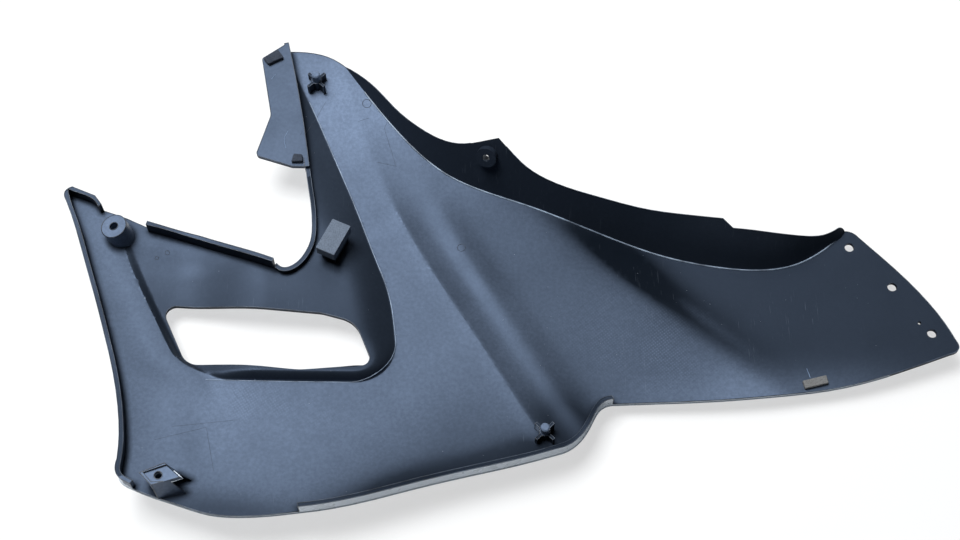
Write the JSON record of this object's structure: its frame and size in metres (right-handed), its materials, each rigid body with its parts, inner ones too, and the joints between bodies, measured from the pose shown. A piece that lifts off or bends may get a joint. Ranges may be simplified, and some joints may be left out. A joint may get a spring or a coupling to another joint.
{
  "type": "motorcycle fairing panel",
  "caption": "Curved moulded side fairing panel, inner side up, with a vent window, shoulder wall, edge flanges, screw bosses, locating pegs, clip tower and glued foam pads.",
  "frame": {"origin": "centre of the panel's footprint at the lowest point of its outer face", "axes": "+X along the panel towards the tail, +Y towards the shoulder edge, +Z from the outer face to the inner face"},
  "size_m": [0.6098, 0.3515, 0.056],
  "materials": {
    "shell": "moulded black inner face with a fine grain, silver grey paint on the outer face",
    "foam": "closed-cell foam"
  },
  "bodies": {
    "root": {"fairing_panel": "shell", "foam_block": "foam", "flap_top_pad": "foam", "flap_lower_pad": "foam", "edge_pad": "foam"}
  },
  "joints": []
}
